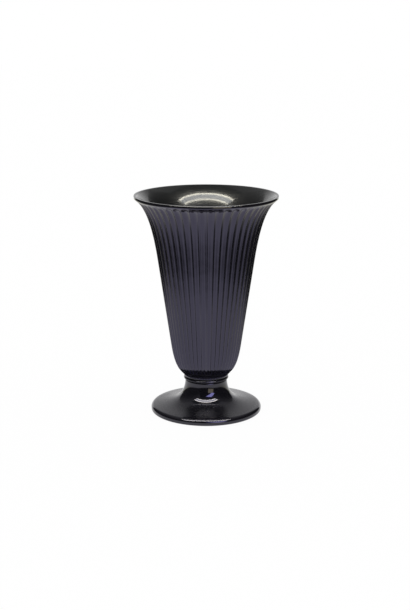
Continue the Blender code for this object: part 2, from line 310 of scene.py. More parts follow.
def dress(tree, shader, colour, rough, relief, relief_height):
    """Feeds a finish: its colour, its roughness, and a relief of this height in metres."""
    tree.links.new(colour, shader.inputs["Base Color"])
    tree.links.new(rough, shader.inputs["Roughness"])
    node = tree.nodes.new("ShaderNodeBump")
    node.inputs["Strength"].default_value = 1.0
    node.inputs["Distance"].default_value = relief_height
    tree.links.new(relief, node.inputs["Height"])
    tree.links.new(node.outputs["Normal"], shader.inputs["Normal"])


# %% [markdown]
# ## What every moulded surface has
# Moulded plastic is never a perfect mirror. The tool leaves a slow waviness, handling leaves faint smudges
# that dull the gloss, and a few grains of dust lie on it. A picture of these would have to be painted and
# unwrapped. Noise on Object coordinates needs neither, and its scale is true, because they are in metres.

# %% A group for the waviness
FINE_RATIO = 14.0  # how many times finer the second waves are
waviness, given, out = new_group(
    "moulded waviness",
    "ShaderNodeTree",
    [("Vector", VECTOR, None), ("Waves per metre", SCALAR, 90.0), ("Fine share", SCALAR, 0.1)],
    [("Height", SCALAR)],
)
broad = noise(waviness, given.outputs["Vector"], given.outputs["Waves per metre"], detail=1.0)
fine_scale = op(waviness, "MULTIPLY", given.outputs["Waves per metre"], FINE_RATIO)
fine = noise(waviness, given.outputs["Vector"], fine_scale)
height = op(waviness, "MULTIPLY_ADD", fine, given.outputs["Fine share"], broad)
waviness.links.new(height, out.inputs["Height"])
print(waviness.name, "holds", len(waviness.nodes), "nodes")

# %% A group for smudges
SMUDGES_PER_METRE, SMUDGE_EDGE = 38.0, (0.45, 0.72)
smudges, given, out = new_group(
    "handling smudges",
    "ShaderNodeTree",
    [("Vector", VECTOR, None), ("Clean", SCALAR, 0.1), ("Smudged", SCALAR, 0.2)],
    [("Roughness", SCALAR)],
)
broad = noise(smudges, given.outputs["Vector"], SMUDGES_PER_METRE, detail=4.0, roughness=0.6)
mask = remap(smudges, broad, *SMUDGE_EDGE)
rough = remap(smudges, mask, 0.0, 1.0, given.outputs["Clean"], given.outputs["Smudged"])
smudges.links.new(rough, out.inputs["Roughness"])
print(smudges.name, "holds", len(smudges.nodes), "nodes")

# %% A group for dust
GRAIN_RADIUS, GRAIN_GROWTH = 0.06, 0.16  # the smallest grain in cells, and how much a cell can add to it
dust, given, out = new_group(
    "grains of dust",
    "ShaderNodeTree",
    [("Vector", VECTOR, None), ("Grains per metre", SCALAR, 700.0), ("Share", SCALAR, 0.05)],
    [("Mask", SCALAR)],
)
cells = dust.nodes.new("ShaderNodeTexVoronoi")
feed(dust, cells.inputs["Vector"], given.outputs["Vector"])
feed(dust, cells.inputs["Scale"], given.outputs["Grains per metre"])
random_values = dust.nodes.new("ShaderNodeSeparateColor")
dust.links.new(cells.outputs["Color"], random_values.inputs[0])
chosen = op(dust, "LESS_THAN", random_values.outputs[0], given.outputs["Share"])
size = op(dust, "MULTIPLY_ADD", random_values.outputs[1], GRAIN_GROWTH, GRAIN_RADIUS)
grain = op(dust, "LESS_THAN", cells.outputs["Distance"], size)
dust.links.new(op(dust, "MULTIPLY", chosen, grain), out.inputs["Mask"])
print(dust.name, "holds", len(dust.nodes), "nodes")

# %% [markdown]
# ## Black plastic outside
# The colour is almost black, and what the eye reads is the reflection of the room. Its faint violet tint is a
# tinted specular and not a tinted base, because the base of the real one is too dark to show a hue.

# %% The outside finish
BLACK = (0.0045, 0.0042, 0.0062, 1.0)
DUST, DUST_ROUGHNESS = (0.22, 0.21, 0.2, 1.0), 0.4
VIOLET, PALE_VIOLET, NO_TINT = (0.71, 0.67, 1.0, 1.0), (0.87, 0.85, 1.0, 1.0), (1.0, 1.0, 1.0, 1.0)


def gloss_black(name, index, tint, clean, smudged, waves, dusty):
    """The outside finish, with the height of its waves and the share of cells that hold a grain of dust."""
    material, tree, shader = new_material(name, IOR=index, Specular_Tint=tint)
    where = object_place(tree)
    marks = placed(tree, smudges, Vector=where, Clean=clean, Smudged=smudged)
    grains = placed(tree, dust, Vector=where, Share=dusty).outputs["Mask"]
    slow = placed(tree, waviness, Vector=where, Waves_per_metre=85.0, Fine_share=0.03)
    rough = op(tree, "MULTIPLY_ADD", grains, DUST_ROUGHNESS, marks.outputs["Roughness"])
    dress(tree, shader, mixed(tree, grains, BLACK, DUST), rough, slow.outputs["Height"], waves)
    return material


def dulled(material, low, high, extra):
    """Adds roughness between two heights, each a pair: where the change starts and where it is complete."""
    tree = material.node_tree
    height = split(tree, object_place(tree))[2]
    between = op(tree, "MULTIPLY", remap(tree, height, *low), remap(tree, height, *high, 1.0, 0.0))
    socket = tree.nodes["Principled BSDF"].inputs["Roughness"]
    rough = socket.links[0].from_socket
    tree.links.new(op(tree, "MULTIPLY_ADD", between, extra, rough), socket)


bell_black = gloss_black("bell_black", 1.7, VIOLET, clean=0.09, smudged=0.14, waves=0.00012, dusty=0.004)
lip_black = gloss_black("lip_black", 1.6, NO_TINT, clean=0.08, smudged=0.12, waves=0.00004, dusty=0.002)
foot_black = gloss_black("foot_black", 1.6, PALE_VIOLET, clean=0.07, smudged=0.11, waves=0.00003, dusty=0.005)
DISC_LOW, DISC_HIGH, DISC_DUST = (0.006, 0.0068), (0.0105, 0.014), 0.2
dulled(foot_black, DISC_LOW, DISC_HIGH, DISC_DUST)  # fine dust dulls the disc's top more than the neck
print("outside finishes:", bell_black.name, lip_black.name, "and", foot_black.name)

# %% [markdown]
# ## Satin inside the bell
# The core of the mould leaves the inside a little duller than the outside: a soft sheen with a sharp gloss
# on top, and grains that sparkle beside a strong highlight. A rough base under a thin coat does that.

# %% The inside finish
SATIN = (0.004, 0.0046, 0.005, 1.0)
satin_black, tree, shader = new_material(
    "satin_black", IOR=1.38, Coat_Weight=1.0, Coat_Roughness=0.11, Coat_IOR=1.5
)
where = object_place(tree)
marks = placed(tree, smudges, Vector=where, Clean=0.3, Smudged=0.38)
grains = placed(tree, dust, Vector=where, Grains_per_metre=1500.0, Share=0.02)
slow = placed(tree, waviness, Vector=where, Waves_per_metre=150.0, Fine_share=0.6)
colour = mixed(tree, grains.outputs["Mask"], SATIN, DUST)
dress(tree, shader, colour, marks.outputs["Roughness"], slow.outputs["Height"], 0.00006)
print("inside finish:", satin_black.name)

# %% [markdown]
# ## The bell's outline
# The bell rises from a plain band, curves out of it, runs straight as a cone and flares into a rolled lip.
# Two curves and a straight line between them give that. The inside is the same line moved in by the wall.

# %% Sizes of the bell
BELL_BASE = 0.03305
BAND_HEIGHT, BOTTOM_HEIGHT, CONE_HEIGHT, FLARE_HEIGHT = 0.0012, 0.0288, 0.0785, 0.05845
BAND_RADIUS, BAND_EDGE = 0.02035, 0.001
CONE_LOW_RADIUS, CONE_HIGH_RADIUS = 0.0321, 0.0437
RIM_RADIUS, LIP_ROLL, LIP_STRAIGHT = 0.0647, 0.0015, 0.0025
LIP_BEVEL = ((0.0002, 42), (0.0016, 29), (0.0004, 0))  # radius of each arc, and the angle at which it ends
LIP_DROP = 0.0012  # how far below the lip's top its outer face starts to turn under
LIP_DROP_PULLS = (0.0005, 0.0005)  # down from the outer face, and back up from the wall
FLUTE_TOP = 0.1638  # height of the flutes' upper ends above the bell's seat
BOTTOM_ANGLE, FLARE_ANGLE = math.radians(31.6), math.radians(49.2)
BOTTOM_PULL, CONE_LOW_PULL, CONE_HIGH_PULL, FLARE_PULL = 0.0056, 0.0249, 0.02845, 0.0119
WALL, LIP_BLEND = 0.0026, 0.014
FLOOR_THICKNESS, FLOOR_FILLET = 0.0035, 0.005
SPIGOT_LENGTH, SPIGOT_RADIUS, BORE_RADIUS = 0.0055, 0.01495, 0.0033
CONE_LEAN = math.atan2(CONE_HIGH_RADIUS - CONE_LOW_RADIUS, CONE_HEIGHT)
CONE_LOW = BAND_HEIGHT + BOTTOM_HEIGHT
CONE_HIGH = CONE_LOW + CONE_HEIGHT
BELL_HEIGHT = CONE_HIGH + FLARE_HEIGHT
LIP_CENTRE = (RIM_RADIUS - LIP_ROLL, BELL_HEIGHT - LIP_ROLL)
ROLL_START = 180 - math.degrees(FLARE_ANGLE)  # where the lip's roll leaves the inside
UNDER_LIP = (
    LIP_CENTRE[0] + LIP_ROLL * math.cos(FLARE_ANGLE),
    LIP_CENTRE[1] - LIP_ROLL * math.sin(FLARE_ANGLE),
)
print("the wall meets the lip at radius and height (mm):", [round(v * 1000, 2) for v in UNDER_LIP])


# %% Lines of the outer side
def bell_flare(count):
    """From the lip down to the straight cone."""
    top = moved(UNDER_LIP, FLARE_ANGLE, -LIP_STRAIGHT)
    end = (CONE_HIGH_RADIUS, CONE_HIGH)
    return curve(top, moved(top, FLARE_ANGLE, -FLARE_PULL), moved(end, CONE_LEAN, CONE_HIGH_PULL), end, count)


def bell_bottom(count):
    """From the foot of the cone down to the plain band."""
    top, end = (CONE_LOW_RADIUS, CONE_LOW), (BAND_RADIUS, BAND_HEIGHT)
    low_pull = moved(top, CONE_LEAN, -CONE_LOW_PULL)
    return curve(top, low_pull, moved(end, BOTTOM_ANGLE, BOTTOM_PULL), end, count)


def bell_wall(height):
    """The wall's thickness, which grows into the lip near the top."""
    near = max(1.0 - (BELL_HEIGHT - height) / LIP_BLEND, 0.0)
    return WALL + (2 * LIP_ROLL - WALL) * near**2


# %% The lip's outer corner
def lip_bevel():
    """Three arcs from the flat top to the upright face. The middle one is the slow, bevelled stretch."""
    points, end, angle = [], (0.0, BELL_HEIGHT), 90
    for radius, last in LIP_BEVEL:
        turn = math.radians(angle)
        centre = (end[0] - radius * math.cos(turn), end[1] - radius * math.sin(turn))
        points += arc(centre, radius, angle, last, count=6)[1 if points else 0 :]
        end, angle = points[-1], last
    return [(r + RIM_RADIUS - end[0], z) for r, z in points]


def lip_underside():
    """From the upright outer face down and in to the wall."""
    face = (RIM_RADIUS, BELL_HEIGHT - LIP_DROP)
    down, back = LIP_DROP_PULLS
    return curve(face, (face[0], face[1] - down), moved(UNDER_LIP, FLARE_ANGLE, back), UNDER_LIP, count=12)


print("the bevelled corner is (mm) wide:", round((RIM_RADIUS - lip_bevel()[0][0]) * 1000, 2))

# %% The skin's outline
SKIN_ROWS = 26  # in each of the two curves


def skin_outline():
    """The outer side, from the inside of the lip over its top and down to the plain band."""
    lip = arc(LIP_CENTRE, LIP_ROLL, ROLL_START, 90, count=8) + lip_bevel() + lip_underside()
    flare, bottom = bell_flare(SKIN_ROWS), bell_bottom(SKIN_ROWS)
    under_lip = straight(UNDER_LIP, flare[0], count=12)
    cone = straight(flare[-1], bottom[0], count=16)
    flute_ends = straight(bottom[-2], bottom[-1], count=4)
    return lip + under_lip + flare + cone + bottom[:-1] + flute_ends + [bottom[-1]]


print("rows of the skin:", len(skin_outline()))

# %% The lining's outline
LINING_START = 0.0008  # how far below the lip's roll the lining starts
FINE_ROWS, KEPT = 120, 4  # the offset is taken from a fine line, of which every fourth point is kept


def lining_outline():
    """Down the inside to the bored floor, down the bore, up the spigot and out to the plain band."""
    roll_end = arc(LIP_CENTRE, LIP_ROLL, ROLL_START, 90, count=1)[0]
    side = inside([UNDER_LIP] + bell_flare(FINE_ROWS), bell_wall)
    flare = [p for p in side if p[1] < roll_end[1] - LINING_START][::KEPT]
    bottom = inside(bell_bottom(FINE_ROWS), bell_wall)[::KEPT]
    cone = straight(flare[-1], bottom[0], count=12)
    wall = flare + cone + [p for p in bottom if p[1] > FLOOR_THICKNESS + FLOOR_FILLET / 4]
    corner = (wall[-1][0] - FLOOR_FILLET, FLOOR_THICKNESS)
    drop = moved(wall[-1], BOTTOM_ANGLE, FLOOR_THICKNESS - wall[-1][1])
    fillet = curve(wall[-1], drop, (corner[0] + FLOOR_FILLET / 2, corner[1]), corner, count=10)
    floor = straight(corner, (BORE_RADIUS, FLOOR_THICKNESS), count=4)
    bore = [(BORE_RADIUS, FLOOR_THICKNESS), (BORE_RADIUS, -SPIGOT_LENGTH)]
    spigot = [(SPIGOT_RADIUS, -SPIGOT_LENGTH), (SPIGOT_RADIUS, 0.0)]
    edge = arc((BAND_RADIUS - BAND_EDGE, BAND_EDGE), BAND_EDGE, -90, 0, count=5)
    return wall + fillet[1:] + floor + bore + spigot + edge


print("rows of the lining:", len(lining_outline()))

# %% [markdown]
# ## Flutes
# The mould for the real bell was cut with a round-nosed cutter, once for each flute: a shallow channel that
# ends in a half-round nose under the lip. One channel, modelled and copied 52 times, would leave seams.
# A Geometry Nodes tree moves the points of the turned skin inwards by a rule instead, so that the ridges stay
# on the turned surface. It also draws the columns of points together at the ridges, where the surface bends
# most.

# %% Sizes of the flutes
FLUTES = 52
COLUMNS_PER_FLUTE = 12
COLUMNS = FLUTES * COLUMNS_PER_FLUTE
LINING_COLUMNS = COLUMNS // 3
FLUTE_VALUES = {
    "Flutes": float(FLUTES),
    "Depth over width": 0.2,
    "Even radius": 0.045,  # where the bell is narrower than this, the flutes get deeper for their width
    "Deepening": 0.8,
    "Steepness": 2.5,
    "Ridge roundness": 0.08,
    "Gather": 0.72,  # how strongly the columns draw together at the ridges
    "Low end": BELL_BASE + BAND_HEIGHT,
    "High end": BELL_BASE + FLUTE_TOP,
    "Low lean": BOTTOM_ANGLE,
    "High lean": FLARE_ANGLE,
}
print("one flute at the rim is", round(math.tau * RIM_RADIUS / FLUTES * 1000, 1), "mm wide")


# %% How a geometry tree starts and ends
def new_geometry_tree(name, values):
    """A tree that takes a mesh, these values and a finish, and gives a mesh."""
    named = [(label, WHOLE if isinstance(value, int) else SCALAR, value) for label, value in values.items()]
    inputs = [("Geometry", GEOMETRY, None), *named, ("Finish", MATERIAL, None)]
    return new_group(name, "GeometryNodeTree", inputs, [("Geometry", GEOMETRY)])


def end_tree(tree, given, out, geometry):
    """Makes instances real, which the export needs, and gives every face the finish."""
    realize = tree.nodes.new("GeometryNodeRealizeInstances")
    coat = tree.nodes.new("GeometryNodeSetMaterial")
    tree.links.new(geometry, realize.inputs[0])
    tree.links.new(realize.outputs[0], coat.inputs["Geometry"])
    tree.links.new(given.outputs["Finish"], coat.inputs["Material"])
    tree.links.new(coat.outputs[0], out.inputs["Geometry"])
    print(tree.name, "holds", len(tree.nodes), "nodes")


# %% The tree: where a point lies across its flute
SEAM_SHIFT = 0.0005  # keeps the points on a ridge from falling into the flute before it
flute_tree, given, out = new_geometry_tree("press flutes", FLUTE_VALUES)
calc = partial(op, flute_tree)
x, y, z = split(flute_tree, flute_tree.nodes.new("GeometryNodeInputPosition").outputs[0])
radius = hypotenuse(flute_tree, x, y)
turns = calc("DIVIDE", calc("ARCTAN2", y, x), math.tau)
count = given.outputs["Flutes"]
cell = calc("MULTIPLY_ADD", turns, count, SEAM_SHIFT)
number = calc("FLOOR", cell)
even = calc("SUBTRACT", cell, number)
swing = calc("DIVIDE", calc("SINE", calc("MULTIPLY", even, math.tau)), math.tau)
across = calc("SUBTRACT", even, calc("MULTIPLY", swing, given.outputs["Gather"]))

# %% The tree: the shape of a channel across its width
width = calc("DIVIDE", calc("MULTIPLY", radius, math.tau), count)
half = calc("MULTIPLY", width, 0.5)
from_ridge = calc("MINIMUM", across, calc("SUBTRACT", 1.0, across))
soft = given.outputs["Ridge roundness"]


def rounded(distance):
    """The distance, with its sharp start rounded off."""
    return calc("SUBTRACT", hypotenuse(flute_tree, distance, soft), soft)


off_middle = calc("SUBTRACT", 1.0, calc("DIVIDE", rounded(from_ridge), rounded(0.5)))
steep = calc("POWER", off_middle, given.outputs["Steepness"])


# %% The tree: the round noses, and how deep the cutter goes
def past_nose(distance, lean):
    """0 where the channel has its full length, 1 at the tip of its half-round end."""
    along = calc("DIVIDE", calc("DIVIDE", distance, calc("COSINE", lean)), half)
    return calc("MAXIMUM", calc("SUBTRACT", 1.0, along), 0.0)


HOLLOW_BLEND = 0.06  # rounds the brim of a channel
below_high = calc("SUBTRACT", given.outputs["High end"], z)
above_low = calc("SUBTRACT", z, given.outputs["Low end"])
high_nose = past_nose(below_high, given.outputs["High lean"])
low_nose = past_nose(above_low, given.outputs["Low lean"])
nose = calc("ADD", high_nose, low_nose)
fall = calc("ADD", steep, calc("POWER", nose, 2.0))
hollow = calc("SMOOTH_MAX", calc("SUBTRACT", 1.0, fall), 0.0, HOLLOW_BLEND)
narrowing = calc("MAXIMUM", calc("DIVIDE", given.outputs["Even radius"], radius), 1.0)
deepened = calc("POWER", narrowing, given.outputs["Deepening"])
over_width = calc("MULTIPLY", deepened, given.outputs["Depth over width"])
depth = calc("MULTIPLY", calc("MULTIPLY", hollow, width), over_width)

# %% The tree: move the points and set the finish
new_radius = calc("SUBTRACT", radius, depth)
angle = calc("DIVIDE", calc("MULTIPLY", calc("ADD", number, across), math.tau), count)
new_x = calc("MULTIPLY", new_radius, calc("COSINE", angle))
new_y = calc("MULTIPLY", new_radius, calc("SINE", angle))
press = flute_tree.nodes.new("GeometryNodeSetPosition")
flute_tree.links.new(given.outputs["Geometry"], press.inputs["Geometry"])
flute_tree.links.new(vector_of(flute_tree, new_x, new_y, z), press.inputs["Position"])
end_tree(flute_tree, given, out, press.outputs[0])


# %% Run a tree on an object
def run_tree(obj, tree, values):
    """Adds the tree as a modifier and sets its inputs by their identifiers."""
    modifier = obj.modifiers.new(tree.name, "NODES")
    modifier.node_group = tree
    for socket in tree.interface.items_tree:
        if socket.in_out == "INPUT" and socket.name in values:
            modifier[socket.identifier] = values[socket.name]
    return obj


# %% The bell
SKIN, LINING, LIP = 0, 1, 2  # the material slots


def make_bell():
    """The fluted skin and the plain lining, bridged where they meet. The lip's faces get their own finish."""
    skin = turned("skin", raised(skin_outline(), BELL_BASE), COLUMNS)
    skin = plain_mesh(run_tree(skin, flute_tree, dict(FLUTE_VALUES, Finish=bell_black)))
    lining = plain_mesh(turned("lining", raised(lining_outline(), BELL_BASE), LINING_COLUMNS))
    mesh = joined("bell", skin, lining)
    bm = bmesh.new()
    bm.from_mesh(mesh)
    open_edges = [edge for edge in bm.edges if edge.is_boundary]
    for upper in (True, False):
        loops = [e for e in open_edges if (e.verts[0].co.z > BELL_BASE + BELL_HEIGHT / 2) == upper]
        for face in bmesh.ops.bridge_loops(bm, edges=loops)["faces"]:
            face.material_index = LINING if upper else SKIN
    for face in bm.faces:
        if face.material_index == SKIN and face.calc_center_median().z > BELL_BASE + LIP_CENTRE[1]:
            face.material_index = LIP
    bm.to_mesh(mesh)
    bm.free()
    finished("fluted_bell", mesh, [bell_black, satin_black, lip_black], "black_plastic", "bell")


make_bell()

# %% [markdown]
# ## The ring and the foot
# Both are turned pieces without a pattern, so a fine outline is all they need. The foot's upper side runs
# from the narrow neck into a thin disc in one curve, and it is hollow up to the hub that the screw clamps.

# %% The ring between the bell and the foot
RING_BASE, RING_HEIGHT, RING_RADIUS, SOCKET_RADIUS = 0.0303, 0.00245, 0.02055, 0.01525
RING_EDGE, RING_LOW_EDGE, RING_STEPS = 0.0013, 0.001, 192


def outer_face(radius, low, high, low_edge, high_edge, low_rows, high_rows):
    """An upright outer face with its two rounded edges, from the top down."""
    top = arc((radius - high_edge, high - high_edge), high_edge, 90, 0, high_rows)
    return top + arc((radius - low_edge, low + low_edge), low_edge, 0, -90, low_rows)


ring_outline = outer_face(RING_RADIUS, 0.0, RING_HEIGHT, RING_LOW_EDGE, RING_EDGE, low_rows=12, high_rows=8)
ring_outline += [(SOCKET_RADIUS, 0.0), (SOCKET_RADIUS, RING_HEIGHT)]
ring = plain_mesh(turned("ring", raised(ring_outline, RING_BASE), RING_STEPS, closed=True))
finished("joint_ring", ring, [foot_black], "black_plastic", "collar_ring")

# %% Sizes of the foot
FOOT_BASE = 0.0005
FOOT_HEIGHT, FOOT_RADIUS, FOOT_EDGE_HEIGHT = 0.0295, 0.0507, 0.0058
FOOT_TOP_ROUND, FOOT_LOW_ROUND, FOOT_SLOPE = 0.0032, 0.0012, math.radians(9.6)
FOOT_NECK_PULL, FOOT_DISC_PULL, FOOT_WALL = 0.018, 0.0155, 0.003
ARRIS_PULL = 0.43  # below 0.55, a quarter round, the arris is worn flatter in its middle
NECK_RADIUS, NECK_ANGLE, NECK_STRAIGHT, NECK_EDGE = 0.0192, math.radians(3.0), 0.0016, 0.001
HUB_LOW, HUB_HIGH = 0.02155, 0.02655
PAD_SEAT_RADIUS, HOLLOW_RADIUS, PAD_RECESS = 0.0459, 0.0424, 0.0013
FOOT_STEPS = 256
TOP_ROWS, CEILING_ROWS, CEILING_KEPT = 56, 96, 3


# %% The foot's outline
def down_slope(point, distance):
    """The point moved outwards and down along the disc's slope."""
    return (point[0] + distance * math.cos(FOOT_SLOPE), point[1] - distance * math.sin(FOOT_SLOPE))


def foot_top(count):
    """The upper side from the neck outwards, and the disc's rounded edge."""
    neck = (NECK_RADIUS, FOOT_HEIGHT - NECK_STRAIGHT)
    centre = (FOOT_RADIUS - FOOT_TOP_ROUND, FOOT_EDGE_HEIGHT - FOOT_TOP_ROUND)
    high = arc(centre, FOOT_TOP_ROUND, 90 - math.degrees(FOOT_SLOPE), 0, count=1)[0]
    low = (FOOT_RADIUS, centre[1])
    pull = ARRIS_PULL * FOOT_TOP_ROUND
    edge = curve(high, down_slope(high, pull), (low[0], low[1] + pull), low, count=18)
    neck_pull = moved(neck, -NECK_ANGLE, -FOOT_NECK_PULL)
    return curve(neck, neck_pull, down_slope(high, -FOOT_DISC_PULL), high, count), edge


def foot_outline():
    """From the neck's top edge out over the disc, in under it and up the hub."""
    top, edge = foot_top(TOP_ROWS)
    neck_top = arc((NECK_RADIUS - NECK_EDGE, FOOT_HEIGHT - NECK_EDGE), NECK_EDGE, 90, 0, count=6)
    low = arc((FOOT_RADIUS - FOOT_LOW_ROUND, FOOT_LOW_ROUND), FOOT_LOW_ROUND, 0, -90, count=10)
    seat = [(PAD_SEAT_RADIUS, 0.0), (PAD_SEAT_RADIUS, PAD_RECESS), (HOLLOW_RADIUS, PAD_RECESS)]
    ceiling = inside(foot_top(CEILING_ROWS)[0], lambda height: FOOT_WALL)[::CEILING_KEPT]
    vault = [p for p in ceiling if p[0] < HOLLOW_RADIUS and p[1] < HUB_LOW][::-1]
    hub = [(vault[-1][0], HUB_LOW), (BORE_RADIUS, HUB_LOW), (BORE_RADIUS, HUB_HIGH)]
    socket = [(SOCKET_RADIUS, HUB_HIGH), (SOCKET_RADIUS, FOOT_HEIGHT)]
    return neck_top + top + edge[1:] + low + seat + vault + hub + socket


foot = plain_mesh(turned("foot", raised(foot_outline(), FOOT_BASE), FOOT_STEPS, closed=True))
finished("turned_foot", foot, [foot_black], "black_plastic", "foot")

# %% [markdown]
# ## The felt under the foot
# Pressed felt is a mat of short fibres. The disc gets a soft rounded edge, and a Geometry Nodes tree scatters
# thin bent fibres over it with a fixed seed. They lie flat, so that none reaches below the resting face.

# %% The felt's finish
FELT_DARK, FELT_PALE = (0.014, 0.014, 0.016, 1.0), (0.045, 0.045, 0.049, 1.0)
PATCH_SHARE = 0.35  # how much of the shade the broad patches make, beside the tufts
felt_black, tree, shader = new_material("felt_black", Sheen_Weight=0.3, Sheen_Roughness=0.6)
where = object_place(tree)
tuft = noise(tree, where, 900.0, detail=6.0, roughness=0.7)
patch = noise(tree, where, 60.0, detail=3.0)
shade = op(tree, "MULTIPLY_ADD", patch, PATCH_SHARE, op(tree, "MULTIPLY", tuft, 1.0 - PATCH_SHARE))
colour = mixed(tree, remap(tree, shade, 0.3, 0.7), FELT_DARK, FELT_PALE)
dress(tree, shader, colour, remap(tree, tuft, 0.2, 0.8, 0.85, 1.0), tuft, 0.0004)
print("the felt's finish:", felt_black.name)

# %% The tree that lays the fibres
FIBRE_VALUES = {"Per square metre": 900000.0, "Length": 0.0016, "Thickness": 0.00004, "Seed": 7}
CORNERS, PIECES = 3, 3  # the fewest that still look round and bent
BEND_ALONG, BEND_ASIDE = 0.5, 0.35  # where a fibre's middle is pulled to, as shares of its length
fibre_tree, given, out = new_geometry_tree("lay fibres", FIBRE_VALUES)
calc = partial(op, fibre_tree)
nodes, links = fibre_tree.nodes, fibre_tree.links
scatter = nodes.new("GeometryNodeDistributePointsOnFaces")
links.new(given.outputs["Geometry"], scatter.inputs["Mesh"])
links.new(given.outputs["Per square metre"], scatter.inputs["Density"])
links.new(given.outputs["Seed"], scatter.inputs["Seed"])
length = given.outputs["Length"]
path = nodes.new("GeometryNodeCurveQuadraticBezier")
path.inputs["Resolution"].default_value = PIECES
path.inputs["Start"].default_value = (0.0, 0.0, 0.0)
bend = vector_of(fibre_tree, calc("MULTIPLY", length, BEND_ALONG), calc("MULTIPLY", length, BEND_ASIDE))
links.new(bend, path.inputs["Middle"])
links.new(vector_of(fibre_tree, length), path.inputs["End"])
section = nodes.new("GeometryNodeCurvePrimitiveCircle")
section.inputs["Resolution"].default_value = CORNERS
links.new(given.outputs["Thickness"], section.inputs["Radius"])
tube = nodes.new("GeometryNodeCurveToMesh")
links.new(path.outputs[0], tube.inputs["Curve"])
links.new(section.outputs[0], tube.inputs["Profile Curve"])
tube.inputs["Fill Caps"].default_value = True

# %% The tree: turn each fibre its own way
spin = nodes.new("FunctionNodeRandomValue")
spin.data_type = "FLOAT_VECTOR"
spin.inputs[0].default_value = (0.0, 0.0, 0.0)
spin.inputs[1].default_value = (0.0, 0.0, math.tau)
links.new(given.outputs["Seed"], spin.inputs["Seed"])
lay = nodes.new("GeometryNodeInstanceOnPoints")
links.new(scatter.outputs["Points"], lay.inputs["Points"])
links.new(tube.outputs[0], lay.inputs["Instance"])
links.new(spin.outputs[0], lay.inputs["Rotation"])
end_tree(fibre_tree, given, out, lay.outputs[0])

# %% The felt disc with its fibres
PAD_RADIUS, PAD_THICKNESS, PAD_EDGE, PAD_STEPS = 0.0456, 0.0015, 0.0005, 128
FIBRE_LAYER, FIBRE_MARGIN = 0.00009, 0.0024


def fibre_ground():
    """The flat round face that the fibres are scattered on, just under the disc."""
    mesh = bpy.data.meshes.new("face")
    bm = bmesh.new()
    bmesh.ops.create_circle(bm, cap_ends=True, segments=96, radius=PAD_RADIUS - FIBRE_MARGIN)
    bmesh.ops.translate(bm, verts=bm.verts, vec=(0.0, 0.0, FIBRE_LAYER / 2 + FIBRE_LAYER / 8))
    bm.to_mesh(mesh)
    bm.free()
    return in_scene("face", mesh)


def make_pad():
    """The disc and its fibres as one piece. The disc stands a fibre's thickness above the resting face."""
    outline = [(0.0, PAD_THICKNESS), (PAD_RADIUS * 0.5, PAD_THICKNESS)]
    outline += outer_face(PAD_RADIUS, FIBRE_LAYER, PAD_THICKNESS, PAD_EDGE, PAD_EDGE, low_rows=4, high_rows=4)
    outline += [(PAD_RADIUS * share, FIBRE_LAYER) for share in (0.95, 0.8, 0.6, 0.4, 0.2, 0.0)]
    disc = plain_mesh(turned("disc", outline, PAD_STEPS))
    fibres = plain_mesh(run_tree(fibre_ground(), fibre_tree, dict(FIBRE_VALUES, Finish=felt_black)))
    pad = finished("felt_pad", joined("pad", disc, fibres), [felt_black, felt_black], "pad_felt", "base_pad")


make_pad()

# %% [markdown]
# ## The screw and its washers
# They sit out of sight in the real vase, but show from above. Steel fasteners are turned or stamped, so their
# gloss has fine rings, and rubber is matt with a little bloom.

# %% Turned steel
STEEL_BRIGHT, STEEL_DULL = (0.58, 0.58, 0.59, 1.0), (0.42, 0.41, 0.4, 1.0)
RING_DENSITY = 30.0
turned_steel, tree, shader = new_material("turned_steel", Metallic=1.0)
where = object_place(tree)
x, y, z = split(tree, where)
from_axis = op(tree, "MULTIPLY", hypotenuse(tree, x, y), RING_DENSITY)
lines = noise(tree, vector_of(tree, from_axis, op(tree, "MULTIPLY", z, RING_DENSITY)), 400.0, detail=3.0)
stain = noise(tree, where, 420.0, detail=4.0)
colour = mixed(tree, remap(tree, stain, 0.4, 0.75), STEEL_BRIGHT, STEEL_DULL)
dress(tree, shader, colour, remap(tree, lines, 0.3, 0.7, 0.22, 0.38), lines, 0.000015)

# %% Rubber
RUBBER_BLACK, RUBBER_BLOOM = (0.016, 0.016, 0.016, 1.0), (0.05, 0.05, 0.05, 1.0)
moulded_rubber, tree, shader = new_material("moulded_rubber", IOR=1.5)
where = object_place(tree)
bloom = noise(tree, where, 500.0, detail=5.0, roughness=0.65)
colour = mixed(tree, remap(tree, bloom, 0.45, 0.8), RUBBER_BLACK, RUBBER_BLOOM)
grit = noise(tree, where, 2600.0, detail=3.0)
dress(tree, shader, colour, remap(tree, bloom, 0.2, 0.8, 0.62, 0.85), grit, 0.00005)
print("finishes of the fasteners:", turned_steel.name, "and", moulded_rubber.name)

# %% Washers and seal
WASHER_STEPS, WASHER_ROWS = 96, 5
# name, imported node, outer radius, thickness, height of its base, edge, finish, slot
WASHERS = (
    ("rubber_seal", "screw_seal", 0.0078, 0.002, 0.03685, 0.0005, moulded_rubber, "seal_rubber"),
    ("head_washer", "screw_washer", 0.006, 0.0016, 0.03915, 0.00025, turned_steel, "screw_steel"),
    ("hub_washer", "foot_washer", 0.006, 0.0016, 0.02015, 0.00025, turned_steel, "screw_steel"),
)
for name, node, outer, thickness, base, edge, finish, slot in WASHERS:
    outline = outer_face(outer, 0.0, thickness, edge, edge, WASHER_ROWS, WASHER_ROWS)
    outline += [(BORE_RADIUS, 0.0), (BORE_RADIUS, thickness)]
    washer = plain_mesh(turned(name, raised(outline, base), WASHER_STEPS, closed=True))
    finished(name, washer, [finish], slot, node)

